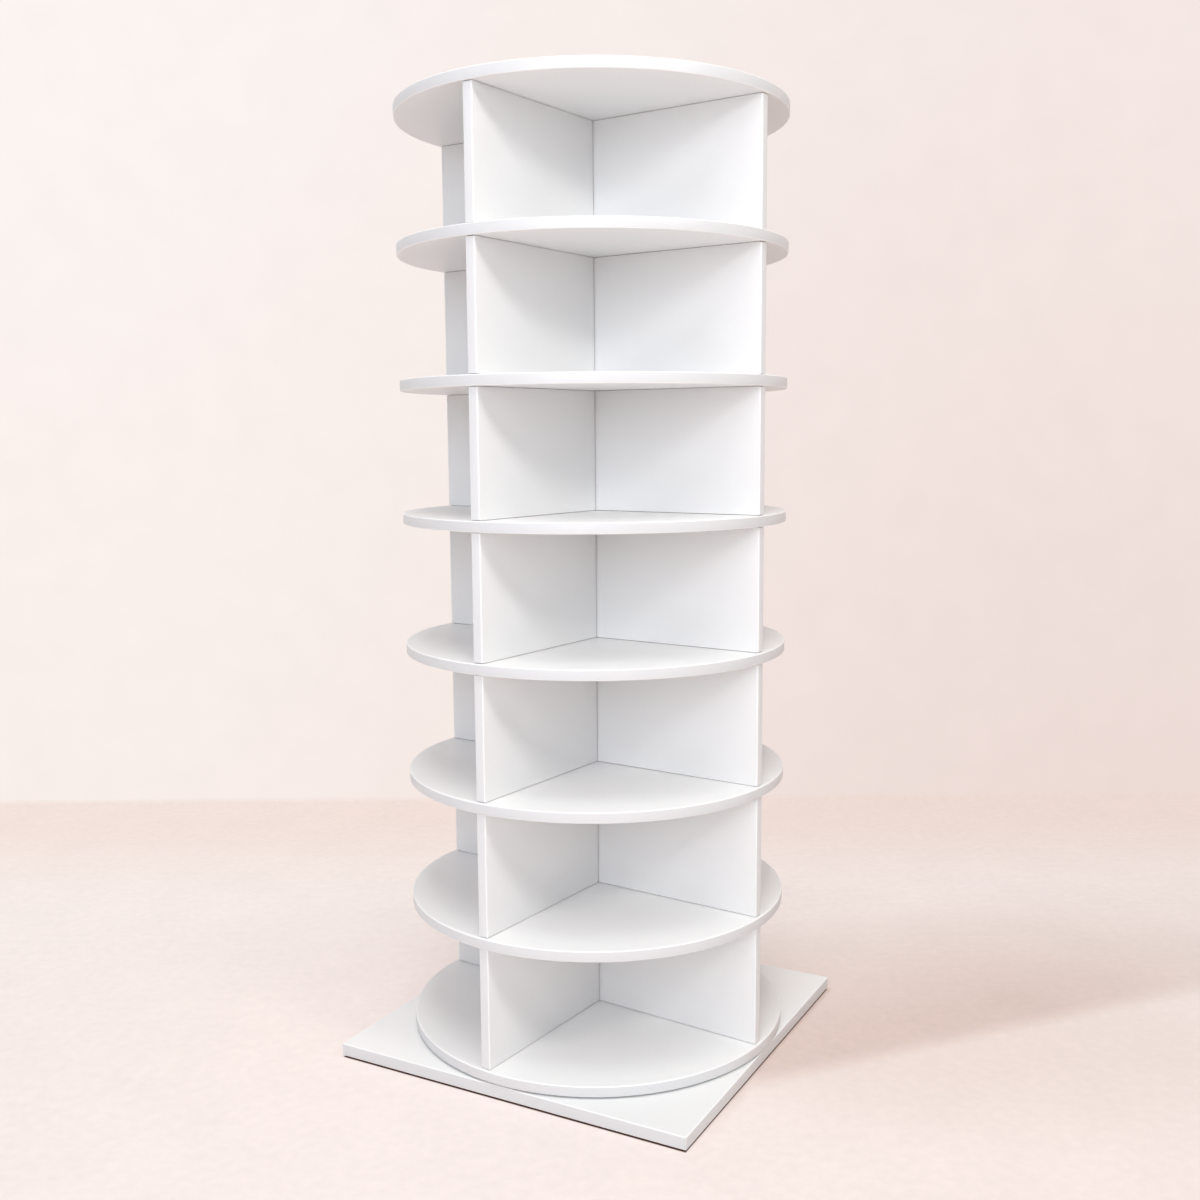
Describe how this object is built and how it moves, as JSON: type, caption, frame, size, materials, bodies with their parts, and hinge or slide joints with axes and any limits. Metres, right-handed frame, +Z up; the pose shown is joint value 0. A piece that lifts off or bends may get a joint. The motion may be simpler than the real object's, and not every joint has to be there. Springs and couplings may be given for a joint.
{
  "type": "rotating shoe tower",
  "caption": "Tall free-standing shoe tower: round white shelves on crossed dividers that spin on a ball turntable let into a square base board.",
  "frame": {"origin": "on the spin axis, on the floor plane under the feet", "axes": "+Z up along the spin axis; +X and +Y along the dividers; the square base is turned 5.7 degrees about +Z from them in the stored pose"},
  "size_m": [0.607, 0.607, 1.3628],
  "materials": {
    "white_board": "white melamine-faced particle board, satin with a very fine pearl texture",
    "white_edge_band": "white ABS edge band, satin, rounded edges",
    "ring_aluminium": "turned, satin",
    "screw_steel": "zinc plated",
    "ball_steel": "polished",
    "cage_plastic": "natural nylon",
    "dowel_wood": "bare beech",
    "foot_rubber": "matte",
    "cap_plastic": "white, slightly glossy"
  },
  "bodies": {
    "base": {"base_board": "white_board", "base_edge_bands": "white_edge_band", "base_feet": "foot_rubber", "turntable_lower_ring": "ring_aluminium", "turntable_base_screws": "screw_steel"},
    "ball_ring": {"ball_cage": "cage_plastic", "bearing_balls": "ball_steel"},
    "tower": {"turntable_upper_ring": "ring_aluminium", "turntable_disc_screws": "screw_steel", "bottom_disc": "white_board", "shelf_disc_1": "white_board", "shelf_disc_2": "white_board", "shelf_disc_3": "white_board", "shelf_disc_4": "white_board", "shelf_disc_5": "white_board", "shelf_disc_6": "white_board", "top_disc": "white_board", "bottom_disc_edge_band": "white_edge_band", "shelf_disc_1_edge_band": "white_edge_band", "shelf_disc_2_edge_band": "white_edge_band", "shelf_disc_3_edge_band": "white_edge_band", "shelf_disc_4_edge_band": "white_edge_band", "shelf_disc_5_edge_band": "white_edge_band", "shelf_disc_6_edge_band": "white_edge_band", "top_disc_edge_band": "white_edge_band", "long_divider_1": "white_board", "long_divider_2": "white_board", "long_divider_3": "white_board", "long_divider_4": "white_board", "long_divider_5": "white_board", "long_divider_6": "white_board", "long_divider_7": "white_board", "front_divider_1": "white_board", "rear_divider_1": "white_board", "front_divider_2": "white_board", "rear_divider_2": "white_board", "front_divider_3": "white_board", "rear_divider_3": "white_board", "front_divider_4": "white_board", "rear_divider_4": "white_board", "front_divider_5": "white_board", "rear_divider_5": "white_board", "front_divider_6": "white_board", "rear_divider_6": "white_board", "front_divider_7": "white_board", "rear_divider_7": "white_board", "divider_edge_bands_1": "white_edge_band", "divider_edge_bands_2": "white_edge_band", "divider_edge_bands_3": "white_edge_band", "divider_edge_bands_4": "white_edge_band", "divider_edge_bands_5": "white_edge_band", "divider_edge_bands_6": "white_edge_band", "divider_edge_bands_7": "white_edge_band", "shelf_dowels": "dowel_wood", "cross_dowels": "dowel_wood", "shelf_screws": "screw_steel", "bottom_disc_screws": "screw_steel", "top_screw_caps": "cap_plastic"}
  },
  "joints": [
    {"name": "tower_spin", "type": "hinge", "parent": "base", "child": "tower", "pos_m": [0, 0, 0.019], "axis": [0, 0, 1], "continuous": true},
    {"name": "ball_ring_spin", "type": "hinge", "parent": "base", "child": "ball_ring", "pos_m": [0, 0, 0.019], "axis": [0, 0, 1], "continuous": true}
  ],
  "couplings": [
    {"joint": "ball_ring_spin", "follows": "tower_spin", "ratio": 0.5093}
  ]
}
